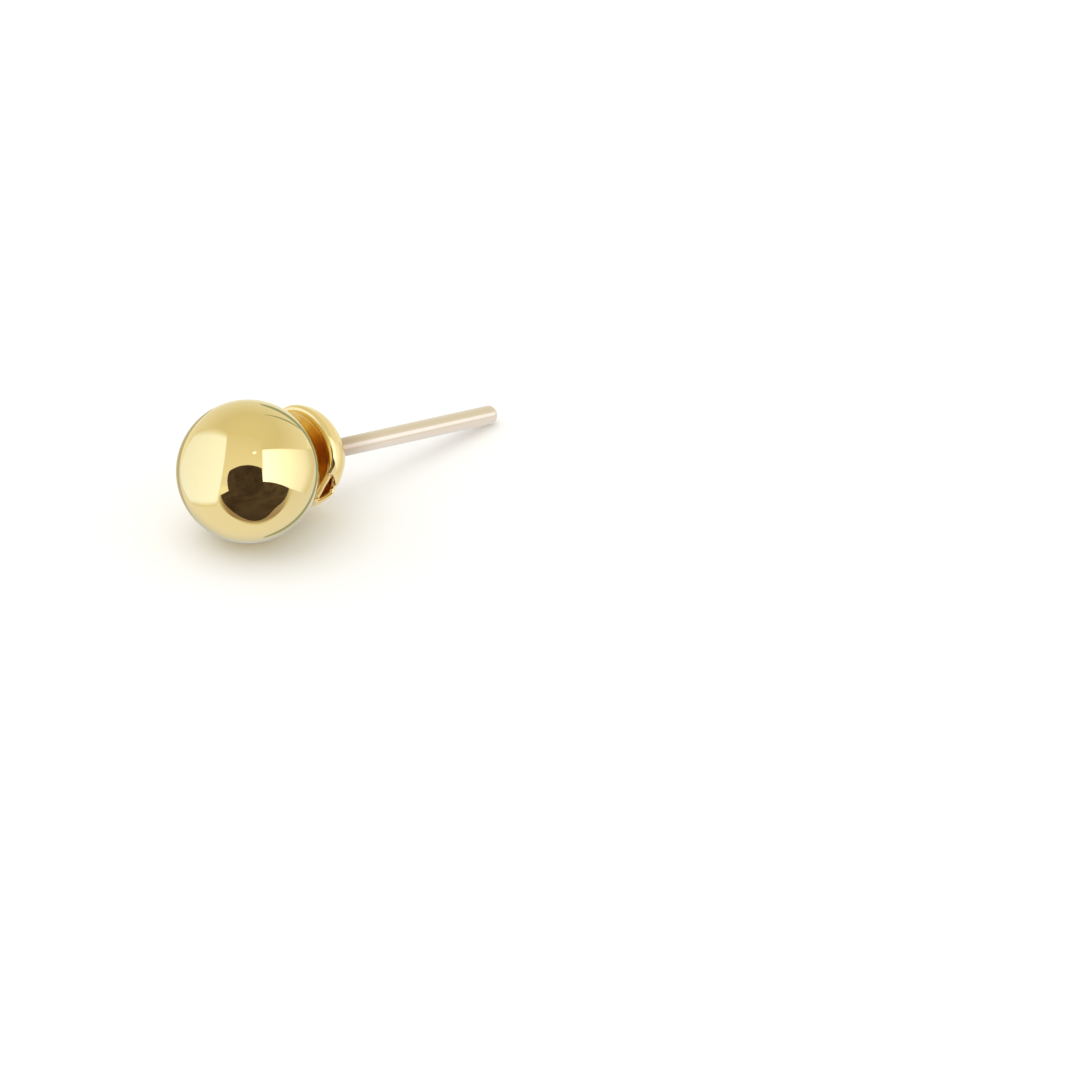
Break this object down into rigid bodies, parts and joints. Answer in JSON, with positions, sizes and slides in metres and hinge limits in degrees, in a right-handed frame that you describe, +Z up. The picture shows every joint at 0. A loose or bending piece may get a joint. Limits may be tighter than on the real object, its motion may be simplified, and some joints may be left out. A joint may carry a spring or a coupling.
{
  "type": "ball stud earring with butterfly ear-nut",
  "caption": "Polished gold ball stud earring on a straight post, with a butterfly ear-nut that slides off the post's end.",
  "frame": {"origin": "middle of the underside of the whole object's box, on the surface that it lies on", "axes": "+Z up; +Y is the way the post runs seen from above, from the ball to the post's end, so the ball faces -Y"},
  "size_m": [0.006, 0.0174, 0.006],
  "materials": {
    "ball_gold": "mirror-polished yellow gold",
    "clutch_gold": "polished yellow gold sheet with rounded stamped edges",
    "post_pale": "pale champagne drawn wire, softer polish"
  },
  "bodies": {
    "stud": {"ball_stud": "ball_gold"},
    "clutch": {"butterfly_clutch": "clutch_gold"}
  },
  "joints": [
    {"name": "clutch_slide", "type": "slide", "parent": "stud", "child": "clutch", "axis": [0, 0.9822, -0.188], "range_m": [0, 0.011]}
  ]
}
